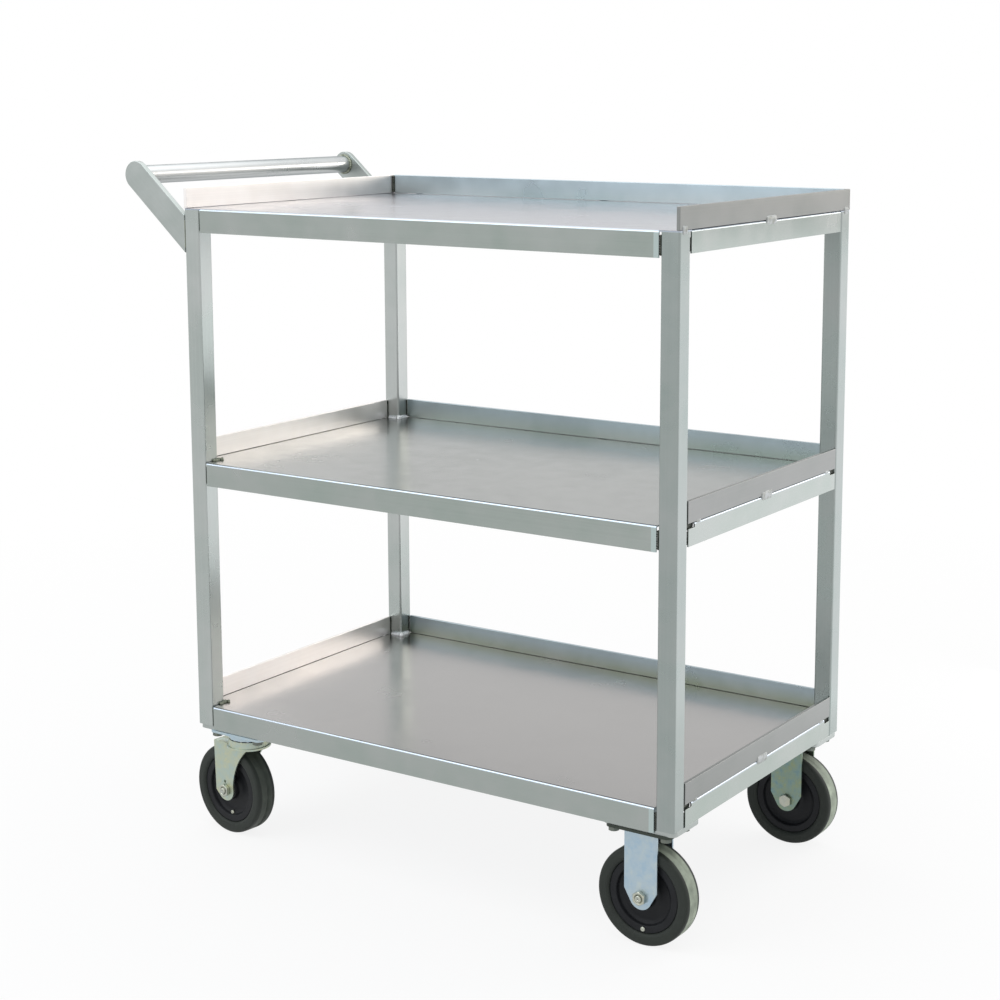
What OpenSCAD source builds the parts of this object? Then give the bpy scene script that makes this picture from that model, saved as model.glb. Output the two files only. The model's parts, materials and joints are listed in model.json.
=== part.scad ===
// Three-shelf food service trolley: welded frame, push handle, two swivel and two rigid casters.
// Millimetres. X runs along the trolley with the handle at -X, the open side is at -Y, Z is up.
// The origin is on the floor, under the middle of the whole trolley.

/* [Frame] */
// Length over the outer faces of the legs
cart_len = 762; // [500:1:1100]
// Depth over the outer faces of the legs
cart_dep = 457.2; // [350:0.1:700]
// Height from one deck to the next
deck_gap = 345; // [200:1:500]

/* [Legs] */
// Side of the square leg tube
leg_w = 25.4; // [20:0.1:40]
// Wall of the leg tube
leg_wall = 2; // [1.2:0.1:3]
// Outer corner radius of the leg tube
leg_round = 3; // [2:0.1:5]

/* [Shelves] */
// Thickness of the shelf sheet
sheet_t = 2; // [1.2:0.1:2.5]
// Depth of the turned-down front and back edges
side_drop = 32; // [20:0.5:50]
// Depth of the turned-down end edges
end_drop = 27.5; // [18:0.5:45]
// Outer radius of the folds
fold_r = 3; // [2.6:0.1:4]
// Gap between a leg and the sheet around it
leg_seam = 2.4; // [0.6:0.1:3]
// Length of the fold relief beside each leg
relief_len = 15; // [6:0.5:25]
// Depth and width of the fold relief
relief_cut = 6; // [4:0.5:10]

/* [Lips] */
// Height of the flat bar
lip_h = 25.4; // [12:0.1:50]
// Thickness of the flat bar
lip_t = 4.8; // [3.5:0.1:8]
// Height of the bar above its deck
lip_lift = 2.1; // [1:0.1:4]
// Gap between a bar's end and its neighbour
lip_seam = 1.5; // [0.8:0.1:3]

/* [Handle] */
// Distance of the grip axis outside the legs
grip_out = 88; // [60:1:140]
// Height of the grip axis above the top deck
grip_up = 42; // [20:1:70]
// Slope of the side plates above level
handle_slope = 41; // [30:1:50]
// Width of the side plates
arm_w = 38.1; // [30:0.1:50]
// Thickness of the side plates
arm_t = 7.9; // [5:0.1:12]
// Outer diameter of the grip tube
grip_d = 25.4; // [18:0.1:28]
// Wall of the grip tube
grip_wall = 2; // [1.2:0.1:3]

/* [Welds] */
// Leg length of the fillet welds
fillet = 4; // [2:0.5:6]
// Length of a short tack weld
tack_len = 12; // [6:1:25]
// Length of the tack weld at the middle of an end lip
long_tack = 28; // [12:1:50]
// Height that an outside tack stands out
tack_rise = 1.6; // [0.6:0.1:2.5]
// Half height of an outside tack
tack_half = 5; // [3.5:0.1:7]

/* [Caster pads] */
// Thickness of the pads
pad_t = 6.35; // [4:0.05:10]
// Margin of a pad beyond its caster plate
pad_margin = 5; // [2:0.5:10]
// Corner radius of the pads
pad_round = 8; // [3:0.5:12]

/* [Caster places] */
// Distance of a swivel axis from the end of the frame
swivel_in = 64; // [56:1:120]
// Distance of a rigid wheel's axle from the end of the frame
rigid_in = 52; // [50:1:120]
// Distance of each caster's middle from the side of the frame
caster_in = 31; // [31:0.5:60]
// Turn of the swivel casters as they stand
swivel_rest = -6; // [-30:1:30]

/* [Wheels] */
// Diameter of the wheels
wheel_d = 127; // [100:1:150]
// Width of the tread
tread_w = 32; // [24:0.5:32]
// Radius of the tread shoulders
shoulder_r = 3.5; // [2:0.5:7]
// Diameter of the wheel core
core_d = 96; // [70:1:98]
// Diameter of the hub
hub_d = 30; // [24:1:40]
// Half thickness of the core's web
web_half = 6; // [3:0.5:9]

/* [Caster forks] */
// Length of the top plate
plate_len = 92; // [88:1:100]
// Depth of the top plate
plate_dep = 60; // [58:1:60]
// Thickness of the top plate
plate_t = 3.5; // [2.5:0.1:5]
// Bolt spacing along the trolley
bolt_along = 73; // [72:0.5:76]
// Bolt spacing across the trolley
bolt_across = 44.5; // [42:0.5:46]
// Diameter of the plate bolts
bolt_d = 8; // [6:0.1:8]
// Thickness of the fork sheet
fork_t = 2.5; // [2:0.1:3]
// Space between the two sides of a fork
fork_gap = 35; // [34.5:0.5:38]
// Space between the wheel and what is above it
wheel_gap = 3; // [2:0.5:10]
// Height of the turning race, crown to top plate
race_h = 16.1; // [15:0.1:22]
// Distance of the wheel axle behind the swivel axis
lead = 28; // [20:1:35]
// Radius of the fork crown
crown_r = 31; // [29:0.5:33]
// Radius of the circle of balls
ball_circle = 23; // [21:0.5:24]
// Diameter of the race balls
ball_d = 6.2; // [5:0.1:6.4]
// Number of race balls
ball_count = 16; // [8:1:18]
// Diameter of the kingpin
kingpin_d = 12; // [8:0.5:14]
// Width of a rigid fork's side
rigid_w = 46; // [40:1:52]
// Radius of the fork's round lower end
toe_r = 15.5; // [12:0.5:16.5]
// Radius of the hollow front edge of a swivel fork
hollow_r = 87; // [75:1:120]

/* [Axles] */
// Diameter of the axle bolts
axle_d = 9.5; // [8:0.1:10]
// Size of the axle nuts across their flats
nut_af = 15.9; // [13:0.1:19]
// Thickness of the axle nuts
nut_t = 5.5; // [4:0.5:9]
// Outer diameter of the axle sleeve
sleeve_d = 14; // [12:0.5:16]
// Thickness of the washers beside the hub
washer_t = 1; // [0.5:0.1:1.5]

/* [Hidden] */
$fn = 64;

// Which end and which side a piece is on
LEFT = 0;
RIGHT = 1;
FRONT = 0;
BACK = 1;

// Clearances
running = 0.15; // a shaft in its bore
apart = 0.35;   // parts that turn past each other
loose = 0.3;    // a bolt in its plate hole
free = 0.5;     // a pad behind the folded edge

// Heights
wheel_r = wheel_d / 2;
crown_z = wheel_d + wheel_gap;
crown_t = fork_t + 0.3;
plate_z = crown_z + crown_t + race_h;
caster_h = plate_z + plate_t;
leg_z = caster_h + pad_t;
bottom_z = leg_z + end_drop;
decks = [bottom_z, bottom_z + deck_gap, bottom_z + 2 * deck_gap];
top_z = decks[2];
frame_corner = leg_w + leg_seam;

// The middle of the whole trolley, from the outer face of the left legs
left_reach = grip_out + arm_w / 2;
right_reach = max(cart_len, cart_len - rigid_in + wheel_r);
middle_x = (right_reach - left_reach) / 2;

// Casters
fork_half = fork_gap / 2 + fork_t;
fork_back = toe_r + 6.5;  // reach of a swivel fork behind the wheel's axle
heel = [-toe_r - 4, -3];  // where its back edge turns in to the toe, from the axle
hollow_in = 1;            // how far its hollow edge runs into the toe
toe_low = 9;              // where a rigid fork starts to narrow, above the axle
fork_hole_d = 4.6;        // small hole above the axle of a swivel fork
fork_hole_up = 12;
race_split = 1.5;         // space between the two halves of a race
race_share = 0.59;        // share of a race's height that turns with the fork
race_in = 6;              // reach of a race inside the circle of balls
race_foot = 5.7;          // reach outside it, against the plate or the crown
race_rim = 4.2;           // reach outside it, at the split
race_low = crown_z + crown_t + (race_h - race_split) * race_share;
race_high = race_low + race_split;
ball_z = (race_low + race_high) / 2;
pin_head_d = kingpin_d + 5;
pin_head_t = 3;
bolt_end = 1.5;           // how far an axle bolt stands out of its nut
bolt_head_af = 13;
bolt_head_t = 5.3;
pad_front = sheet_t + free;

// Beads in a seam: how deep they lie, how far they go in past a leg's round corner, and how
// far they reach down below a deck
bead_in = 1.2;
bead_deep = leg_round + 1.2;
bead_down = min(side_drop, end_drop) - fillet;

ALLOY = [0.78, 0.79, 0.80];
SHEET = [0.74, 0.76, 0.78];
BEAD = [0.86, 0.88, 0.90];
ZINC = [0.63, 0.75, 0.81];
STEEL = [0.62, 0.64, 0.66];
CORE = [0.16, 0.17, 0.18];
TYRE = [0.27, 0.29, 0.27];

// Children are drawn from the left end of the frame, with Y = 0 on its long axis
module on_frame() {
    translate([-middle_x, 0, 0]) children();
}

// Children are drawn from one outer corner of the frame: X and Y run inwards
module at_corner(end, side) {
    on_frame()
        translate([end * cart_len, (side - 0.5) * cart_dep, 0])
            mirror([end, 0, 0]) mirror([0, side, 0]) children();
}

module round_rect(a, b, r) {
    translate([r, 0]) square([a - 2 * r, b]);
    translate([0, r]) square([a, b - 2 * r]);
    for (x = [r, a - r], y = [r, b - r]) translate([x, y]) circle(r);
}

// ---- legs ----

module leg(end, side) {
    color(ALLOY) at_corner(end, side) translate([0, 0, leg_z])
        linear_extrude(top_z - sheet_t - leg_z) difference() {
            round_rect(leg_w, leg_w, leg_round);
            translate([leg_wall, leg_wall])
                round_rect(leg_w - 2 * leg_wall, leg_w - 2 * leg_wall, max(leg_round - leg_wall, 0.5));
        }
}

// ---- shelves ----

// Section of a turned-down edge: its outer face is at x = 0 and its top at y = 0, and it
// reaches into the sheet
module fold_section(drop) {
    intersection() {
        translate([fold_r, -fold_r]) difference() {
            circle(fold_r);
            circle(fold_r - sheet_t);
        }
        translate([0, -fold_r]) square(fold_r);
    }
    translate([0, -drop]) square([sheet_t, drop - fold_r]);
    translate([fold_r, -sheet_t]) square([fold_r, sheet_t]);
}

// The sheet, its four turned-down edges and its corners
module shelf(z, over_legs) {
    color(SHEET) on_frame() translate([0, -cart_dep / 2, z]) {
        difference() {
            union() {
                translate([0, 0, -sheet_t]) linear_extrude(sheet_t) shelf_sheet(over_legs);
                for (side = [FRONT, BACK]) translate([0, side * cart_dep, 0]) mirror([0, side, 0])
                    translate([frame_corner, 0, 0]) rotate([90, 0, 90])
                        linear_extrude(cart_len - 2 * frame_corner) fold_section(side_drop);
                for (end = [LEFT, RIGHT]) translate([end * cart_len, 0, 0]) mirror([end, 0, 0])
                    translate([0, cart_dep - frame_corner, 0]) rotate([90, 0, 0])
                        linear_extrude(cart_dep - 2 * frame_corner) fold_section(end_drop);
            }
            if (!over_legs) shelf_reliefs();
        }
    }
}

module shelf_sheet(over_legs) {
    difference() {
        translate([fold_r, fold_r]) square([cart_len - 2 * fold_r, cart_dep - 2 * fold_r]);
        if (!over_legs) for (end = [LEFT, RIGHT], side = [FRONT, BACK])
            translate([end * cart_len, side * cart_dep]) mirror([end, 0]) mirror([0, side])
                square(frame_corner);
    }
    if (over_legs) for (end = [LEFT, RIGHT], side = [FRONT, BACK])
        translate([end * cart_len, side * cart_dep]) mirror([end, 0]) mirror([0, side]) {
            translate([0, leg_round]) square([frame_corner, frame_corner - leg_round]);
            translate([leg_round, 0]) square([frame_corner - leg_round, frame_corner]);
            translate([leg_round, leg_round]) circle(leg_round);
        }
}

// The end folds are cut away for a short way beside each leg
module shelf_reliefs() {
    for (end = [LEFT, RIGHT], side = [FRONT, BACK])
        translate([end * cart_len, side * cart_dep, 0]) mirror([end, 0, 0]) mirror([0, side, 0])
            translate([-1, frame_corner - 1, -relief_cut])
                cube([relief_cut + 1, relief_len + 1, relief_cut + 1]);
}

// ---- lips ----

// A lip stands on its deck: an end lip runs along Y and a back lip along X
module lip_end(z, end, start) {
    color(ALLOY) on_frame() translate([end * cart_len, 0, z + lip_lift]) mirror([end, 0, 0])
        translate([0, start - cart_dep / 2, 0]) cube([lip_t, cart_dep - 2 * start, lip_h]);
}

module lip_back(z, start) {
    color(ALLOY) on_frame() translate([start, cart_dep / 2 - lip_t, z + lip_lift])
        cube([cart_len - 2 * start, lip_t, lip_h]);
}

// Where a lip starts: beside the end lip, or beside the leg
corner_start = lip_t + lip_seam;
leg_start = leg_w + lip_seam;

// ---- handle ----

module arm(side) {
    blank = 3 * grip_out;
    color(ALLOY) on_frame() translate([0, (side - 0.5) * cart_dep, top_z]) mirror([0, side, 0])
        intersection() {
            translate([-grip_out, arm_t, grip_up]) rotate([0, handle_slope, 0]) rotate([90, 0, 0])
                linear_extrude(arm_t) {
                    circle(arm_w / 2);
                    translate([0, -arm_w / 2]) square([blank, arm_w]);
                }
            translate([-blank, -1, -blank]) cube([blank, arm_t + 2, 2 * blank]);
        }
}

module grip() {
    color(ALLOY) on_frame() translate([-grip_out, 0, top_z + grip_up]) rotate([90, 0, 0])
        difference() {
            cylinder(d = grip_d, h = cart_dep - 2 * arm_t, center = true);
            cylinder(d = grip_d - 2 * grip_wall, h = cart_dep, center = true);
        }
}

// ---- welds ----

// Groove tack: fills the groove between a folded edge and the lip above it, flush with both
module groove_tack(length) {
    rotate([90, 0, 0]) linear_extrude(length, center = true) difference() {
        translate([0, -fold_r]) square([fold_r, fold_r + lip_lift]);
        translate([fold_r, -fold_r]) circle(fold_r);
    }
}

// Outside tack: a flat bead over the seam of a lip and the folded edge below it
module outside_tack(length) {
    bulge = (tack_half * tack_half + tack_rise * tack_rise) / (2 * tack_rise);
    rotate([90, 0, 0]) linear_extrude(length, center = true) intersection() {
        translate([bulge - tack_rise, 0]) circle(bulge, $fn = 128);
        translate([-2 * tack_rise, -tack_half]) square([2 * tack_rise, 2 * tack_half]);
    }
}

// The tacks of one deck's lips: three on each end lip and three behind the back lip
module deck_tacks(z) {
    tack_end = leg_w + relief_len + tack_len;
    for (end = [LEFT, RIGHT]) on_frame() translate([end * cart_len, 0, z]) mirror([end, 0, 0]) {
        outside_tack(long_tack);
        for (s = [-1, 1]) translate([0, s * (cart_dep / 2 - tack_end), 0]) outside_tack(tack_len);
    }
    for (x = [tack_end, cart_len / 2, cart_len - tack_end])
        on_frame() translate([x, cart_dep / 2, z]) rotate([0, 0, -90]) groove_tack(tack_len);
}

// Upright bead where the back lip meets an end lip on the top deck
module corner_bead(end) {
    at_corner(end, BACK) translate([0, 0, top_z + lip_lift]) linear_extrude(lip_h - bead_in) {
        translate([lip_t, bead_in]) square([lip_seam, lip_t - bead_in]);
        translate([lip_t, lip_t]) intersection() {
            circle(fillet);
            square(fillet);
        }
    }
}

module weld_lips() {
    color(BEAD) {
        for (z = decks) deck_tacks(z);
        for (end = [LEFT, RIGHT]) corner_bead(end);
    }
}

// Beads that close the seam between a leg and the ends of the folded edges
module seam_beads(z) {
    translate([leg_w, bead_in, z - bead_down])
        cube([leg_seam, bead_deep, bead_down - fillet - fold_r]);
    translate([bead_in, leg_w, z - bead_down])
        cube([bead_deep, leg_seam, bead_down - fillet - relief_cut]);
}

// Fillets at the foot of a leg on a deck that it passes through
module foot_fillets(z) {
    for (turn = [0, 1]) mirror([turn, -turn, 0])
        translate([leg_w, leg_w - leg_round, z]) rotate([90, 0, 0]) linear_extrude(tack_len)
            polygon([[0, 0], [fillet + leg_seam, 0], [0, fillet + leg_seam]]);
}

module weld_frame() {
    color(BEAD) for (end = [LEFT, RIGHT], side = [FRONT, BACK]) at_corner(end, side) {
        for (z = decks) seam_beads(z);
        for (z = [decks[0], decks[1]]) foot_fillets(z);
    }
}

module weld_handle() {
    cut_half = arm_w / 2 / cos(handle_slope);
    cut_mid = grip_up - grip_out * tan(handle_slope);
    ring = fillet - 1;
    short = 3;
    color(BEAD) for (side = [FRONT, BACK])
        on_frame() translate([0, (side - 0.5) * cart_dep, top_z]) mirror([0, side, 0]) {
            translate([-grip_out, arm_t, grip_up]) rotate([-90, 0, 0]) rotate_extrude()
                polygon([[grip_d / 2, 0], [grip_d / 2 + ring, 0], [grip_d / 2, ring]]);
            translate([0, arm_t, cut_mid - cut_half + short]) linear_extrude(2 * (cut_half - short))
                polygon([[0, 0], [-fillet, 0], [0, fillet]]);
        }
}

// ---- caster pads and their bolts ----

function caster_x(end) = end == LEFT ? swivel_in : rigid_in;

module bolt_places(end) {
    for (sx = [-1, 1], sy = [-1, 1])
        translate([caster_x(end) + sx * bolt_along / 2, caster_in + sy * bolt_across / 2, 0]) children();
}

module pad(end, side) {
    pad_len = caster_x(end) + plate_len / 2 + pad_margin;
    pad_dep = caster_in + plate_dep / 2 + pad_margin;
    color(ALLOY) at_corner(end, side) translate([0, 0, caster_h]) difference() {
        translate([0, pad_front, 0]) linear_extrude(pad_t)
            round_rect(pad_len, pad_dep - pad_front, pad_round);
        bolt_places(end) translate([0, 0, -1]) cylinder(d = bolt_d, h = pad_t + 2);
    }
}

module bolts(end) {
    color(STEEL) for (side = [FRONT, BACK]) at_corner(end, side) bolt_places(end) {
        translate([0, 0, plate_z]) cylinder(d = bolt_d, h = plate_t + pad_t - free);
        translate([0, 0, plate_z - bolt_head_t])
            cylinder(d = bolt_head_af / cos(30), h = bolt_head_t, $fn = 6);
    }
}

// ---- casters ----

// Children are drawn from the floor point under a caster's middle
module at_caster(end, side) {
    at_corner(end, side) translate([caster_x(end), caster_in, 0]) children();
}

// Children are drawn from the swivel axis, turned as the caster stands
module at_swivel(side) {
    at_caster(LEFT, side) rotate([0, 0, swivel_rest]) children();
}

// Children are drawn from the wheel's centre, with the axle along Y
module at_wheel(end, side) {
    if (end == LEFT) at_swivel(side) translate([-lead, 0, wheel_r]) children();
    else at_caster(end, side) translate([0, 0, wheel_r]) children();
}

module caster_plate_body() {
    difference() {
        translate([-plate_len / 2, -plate_dep / 2, plate_z])
            linear_extrude(plate_t) round_rect(plate_len, plate_dep, pad_round);
        for (sx = [-1, 1], sy = [-1, 1])
            translate([sx * bolt_along / 2, sy * bolt_across / 2, plate_z - 1])
                cylinder(d = bolt_d + 2 * loose, h = plate_t + 2);
    }
}

// Half of the ball race, from its foot on the plate or the crown to its rim at the split
module race_ring(foot, rim) {
    rotate_extrude() difference() {
        polygon([
            [ball_circle - race_in, foot], [ball_circle + race_foot, foot],
            [ball_circle + race_rim, rim], [ball_circle - race_in, rim]
        ]);
        translate([ball_circle, ball_z]) circle(ball_d / 2 + apart);
    }
}

module swivel_plate(side) {
    color(ZINC) at_caster(LEFT, side) difference() {
        union() {
            caster_plate_body();
            race_ring(plate_z, race_high);
        }
        translate([0, 0, crown_z]) cylinder(d = kingpin_d, h = caster_h);
    }
}

// The kingpin is riveted flush with the top plate, and its head carries the fork crown
module kingpin(side) {
    head_low = crown_z - apart - pin_head_t;
    color(STEEL) at_caster(LEFT, side) translate([0, 0, head_low]) {
        cylinder(d = kingpin_d, h = caster_h - head_low);
        cylinder(d = pin_head_d, h = pin_head_t);
    }
}

module balls(side) {
    color(STEEL) at_swivel(side) for (i = [0 : ball_count - 1]) rotate(i * 360 / ball_count)
        translate([ball_circle, 0, ball_z]) sphere(d = ball_d, $fn = 24);
}

// The point where a line from a place p touches a circle about the origin, on its left or right
function touch(p, r, turn) =
    let (a = atan2(p[1], p[0]) + turn * acos(r / norm(p))) [r * cos(a), r * sin(a)];

// One side of a swivel fork, in the plane of the wheel, from the wheel's centre
module swivel_side() {
    inset = 0.6;
    chord = lead + sqrt(crown_r * crown_r - fork_half * fork_half) - inset;
    crown_low = crown_z - wheel_r;
    crown_mid = crown_low + crown_t / 2;
    difference() {
        union() {
            circle(toe_r);
            difference() {
                polygon([
                    [-fork_back, crown_mid], [-fork_back, crown_low], heel, touch(heel, toe_r, 1),
                    [toe_r - 2 * hollow_in, 0], [chord, 0], [chord, crown_mid]
                ]);
                translate([toe_r - hollow_in + hollow_r, 0]) circle(hollow_r, $fn = 180);
            }
        }
        circle(axle_d / 2 + running);
        translate([-1, fork_hole_up]) circle(d = fork_hole_d);
    }
}

module swivel_fork(side) {
    color(ZINC) at_swivel(side) {
        difference() {
            union() {
                translate([0, 0, crown_z]) linear_extrude(crown_t) {
                    circle(crown_r);
                    translate([-lead - fork_back, -fork_half]) square([lead + fork_back, 2 * fork_half]);
                }
                race_ring(crown_z + crown_t, race_low);
            }
            translate([0, 0, crown_z - 1]) cylinder(d = kingpin_d + 2 * running, h = race_h);
        }
        for (s = [-1, 1]) translate([-lead, s * (fork_half - fork_t / 2), wheel_r]) rotate([90, 0, 0])
            linear_extrude(fork_t, center = true) swivel_side();
    }
}

// One side of a rigid fork: straight edges that taper to the round end
module rigid_side() {
    shoulder = [rigid_w / 2, toe_low];
    low = touch(shoulder, toe_r, -1);
    plate_mid = plate_z - wheel_r + plate_t / 2;
    difference() {
        union() {
            circle(toe_r);
            polygon([
                [-shoulder[0], plate_mid], [-shoulder[0], toe_low], [-low[0], low[1]],
                low, shoulder, [shoulder[0], plate_mid]
            ]);
        }
        circle(axle_d / 2 + running);
    }
}

module rigid_fork(side) {
    color(ZINC) at_caster(RIGHT, side) {
        caster_plate_body();
        for (s = [-1, 1]) translate([0, s * (fork_half - fork_t / 2), wheel_r]) rotate([90, 0, 0])
            linear_extrude(fork_t, center = true) rigid_side();
    }
}

// Axle bolt: its head is on the inner side of the trolley and its end stands out of the nut
module axle(end, side) {
    head_t = nut_t - 1;
    color(STEEL) at_wheel(end, side) rotate([90, 0, 0]) {
        translate([0, 0, -fork_half]) cylinder(d = axle_d, h = 2 * fork_half + nut_t + bolt_end);
        translate([0, 0, -fork_half - head_t]) cylinder(d = nut_af / cos(30), h = head_t, $fn = 6);
    }
}

module axle_nut(end, side) {
    color(STEEL) at_wheel(end, side) rotate([90, 0, 0]) translate([0, 0, fork_half]) difference() {
        cylinder(d = nut_af / cos(30), h = nut_t, $fn = 6);
        translate([0, 0, -1]) cylinder(d = axle_d, h = nut_t + 2);
    }
}

// Sleeve that the wheel turns on, with a washer at each side of the hub
module sleeve(end, side) {
    color(STEEL) at_wheel(end, side) rotate([90, 0, 0]) difference() {
        union() {
            cylinder(d = sleeve_d, h = fork_gap, center = true);
            for (s = [-1, 1]) translate([0, 0, s * (fork_gap - washer_t) / 2])
                cylinder(d = hub_d - 3, h = washer_t, center = true);
        }
        cylinder(d = axle_d + 2 * running, h = fork_gap + 2, center = true);
    }
}

// Wheel core: hub, thin web and rim
module core(end, side) {
    hub_half = fork_gap / 2 - washer_t - apart;
    rim_half = tread_w / 2 - 3;
    rim_in = core_d / 2 - 9;
    slope = 2;
    color(CORE) at_wheel(end, side) rotate([90, 0, 0]) rotate_extrude($fn = 96)
        polygon([
            [sleeve_d / 2 + running, -hub_half], [hub_d / 2, -hub_half],
            [hub_d / 2 + slope, -web_half], [rim_in - slope, -web_half],
            [rim_in, -rim_half], [core_d / 2, -rim_half],
            [core_d / 2, rim_half], [rim_in, rim_half],
            [rim_in - slope, web_half], [hub_d / 2 + slope, web_half],
            [hub_d / 2, hub_half], [sleeve_d / 2 + running, hub_half]
        ]);
}

// Tyre: flat tread with round shoulders and slightly hollow sides
module tyre(end, side) {
    flat_half = tread_w / 2 - shoulder_r;
    edge_half = tread_w / 2 - 2.5;
    side_in = core_d / 2 + 4;
    color(TYRE) at_wheel(end, side) rotate([90, 0, 0]) rotate_extrude($fn = 96) {
        polygon([
            [core_d / 2, -edge_half], [side_in, -tread_w / 2],
            [wheel_r - shoulder_r, -tread_w / 2], [wheel_r - shoulder_r, -flat_half],
            [wheel_r, -flat_half], [wheel_r, flat_half],
            [wheel_r - shoulder_r, flat_half], [wheel_r - shoulder_r, tread_w / 2],
            [side_in, tread_w / 2], [core_d / 2, edge_half]
        ]);
        for (s = [-1, 1]) translate([wheel_r - shoulder_r, s * flat_half]) intersection() {
            circle(shoulder_r);
            translate([0, s > 0 ? 0 : -shoulder_r]) square(shoulder_r);
        }
    }
}

leg(LEFT, FRONT);  // leg_front_left
leg(RIGHT, FRONT);  // leg_front_right
leg(LEFT, BACK);  // leg_back_left
leg(RIGHT, BACK);  // leg_back_right
shelf(decks[2], true);  // shelf_top
shelf(decks[1], false);  // shelf_middle
shelf(decks[0], false);  // shelf_bottom
lip_back(decks[2], corner_start);  // lip_top_back
lip_end(decks[2], LEFT, 0);  // lip_top_left
lip_end(decks[2], RIGHT, 0);  // lip_top_right
lip_back(decks[1], leg_start);  // lip_middle_back
lip_end(decks[1], LEFT, leg_start);  // lip_middle_left
lip_end(decks[1], RIGHT, leg_start);  // lip_middle_right
lip_back(decks[0], leg_start);  // lip_bottom_back
lip_end(decks[0], LEFT, leg_start);  // lip_bottom_left
lip_end(decks[0], RIGHT, leg_start);  // lip_bottom_right
arm(FRONT);  // handle_arm_front
arm(BACK);  // handle_arm_back
grip();  // handle_grip
weld_lips();
weld_frame();
weld_handle();
pad(LEFT, FRONT);  // pad_front_left
pad(RIGHT, FRONT);  // pad_front_right
pad(LEFT, BACK);  // pad_back_left
pad(RIGHT, BACK);  // pad_back_right
bolts(LEFT);  // bolts_left
bolts(RIGHT);  // bolts_right
swivel_plate(FRONT);  // swivel_front_plate
kingpin(FRONT);  // swivel_front_kingpin
balls(FRONT);  // swivel_front_balls
swivel_fork(FRONT);  // swivel_front_fork
axle(LEFT, FRONT);  // swivel_front_axle
axle_nut(LEFT, FRONT);  // swivel_front_nut
sleeve(LEFT, FRONT);  // swivel_front_sleeve
core(LEFT, FRONT);  // swivel_front_core
tyre(LEFT, FRONT);  // swivel_front_tyre
swivel_plate(BACK);  // swivel_back_plate
kingpin(BACK);  // swivel_back_kingpin
balls(BACK);  // swivel_back_balls
swivel_fork(BACK);  // swivel_back_fork
axle(LEFT, BACK);  // swivel_back_axle
axle_nut(LEFT, BACK);  // swivel_back_nut
sleeve(LEFT, BACK);  // swivel_back_sleeve
core(LEFT, BACK);  // swivel_back_core
tyre(LEFT, BACK);  // swivel_back_tyre
rigid_fork(FRONT);  // rigid_front_fork
axle(RIGHT, FRONT);  // rigid_front_axle
axle_nut(RIGHT, FRONT);  // rigid_front_nut
sleeve(RIGHT, FRONT);  // rigid_front_sleeve
core(RIGHT, FRONT);  // rigid_front_core
tyre(RIGHT, FRONT);  // rigid_front_tyre
rigid_fork(BACK);  // rigid_back_fork
axle(RIGHT, BACK);  // rigid_back_axle
axle_nut(RIGHT, BACK);  // rigid_back_nut
sleeve(RIGHT, BACK);  // rigid_back_sleeve
core(RIGHT, BACK);  // rigid_back_core
tyre(RIGHT, BACK);  // rigid_back_tyre
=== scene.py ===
import json
import math

import bmesh
import bpy
from mathutils import Matrix, Vector


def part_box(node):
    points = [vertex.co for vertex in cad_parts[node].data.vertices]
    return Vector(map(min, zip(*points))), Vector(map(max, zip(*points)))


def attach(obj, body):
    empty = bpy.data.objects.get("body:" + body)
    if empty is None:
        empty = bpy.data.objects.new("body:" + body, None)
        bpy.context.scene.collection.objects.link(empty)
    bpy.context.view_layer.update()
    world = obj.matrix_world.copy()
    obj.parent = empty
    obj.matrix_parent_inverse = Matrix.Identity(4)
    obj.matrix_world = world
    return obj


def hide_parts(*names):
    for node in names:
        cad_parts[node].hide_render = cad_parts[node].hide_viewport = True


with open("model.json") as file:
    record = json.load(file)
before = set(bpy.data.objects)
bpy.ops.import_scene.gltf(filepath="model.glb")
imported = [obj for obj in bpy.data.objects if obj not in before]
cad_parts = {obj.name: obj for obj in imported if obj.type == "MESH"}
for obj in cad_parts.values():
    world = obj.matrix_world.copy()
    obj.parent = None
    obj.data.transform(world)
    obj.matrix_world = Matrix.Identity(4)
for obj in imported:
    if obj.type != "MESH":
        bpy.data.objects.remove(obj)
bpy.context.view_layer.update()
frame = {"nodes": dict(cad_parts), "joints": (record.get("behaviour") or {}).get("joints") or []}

# ---- Legs ----
# Four lengths of square aluminium tube with small round corners, drawn and left mill bright, so
# their fine grain runs up the tube. The shelves are welded to them, and the casters hang below.


def node(tree, kind, inputs=(), **settings):
    """One node of a tree; inputs gives its sockets a value or joins them to another node's socket."""
    made = tree.nodes.new(kind)
    for name, value in settings.items():
        setattr(made, name, value)
    for name, value in dict(inputs).items():
        if isinstance(value, bpy.types.NodeSocket):
            tree.links.new(value, made.inputs[name])
        else:
            made.inputs[name].default_value = value
    return made


def finish(name, colour, metallic, rough):
    """A new material, its node tree and its shader, with plain values on the shader."""
    material = bpy.data.materials.new(name)
    material.use_nodes = True
    skin = material.node_tree.nodes["Principled BSDF"]
    skin.inputs["Base Color"].default_value = (*colour, 1)
    skin.inputs["Metallic"].default_value = metallic
    skin.inputs["Roughness"].default_value = rough
    return material, material.node_tree, skin


def noise(tree, where, scale, detail=3.0, rough=0.5):
    """A noise pattern of so many lumps to the metre."""
    return node(tree, "ShaderNodeTexNoise",
                {"Vector": where, "Scale": scale, "Detail": detail, "Roughness": rough}).outputs["Fac"]


def spread(tree, value, low, high, to_low=0.0, to_high=1.0):
    """Stretches the values between low and high to a new range, and clips the rest."""
    return node(tree, "ShaderNodeMapRange", {
        "Value": value, "From Min": low, "From Max": high, "To Min": to_low, "To Max": to_high,
    }).outputs["Result"]


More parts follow.
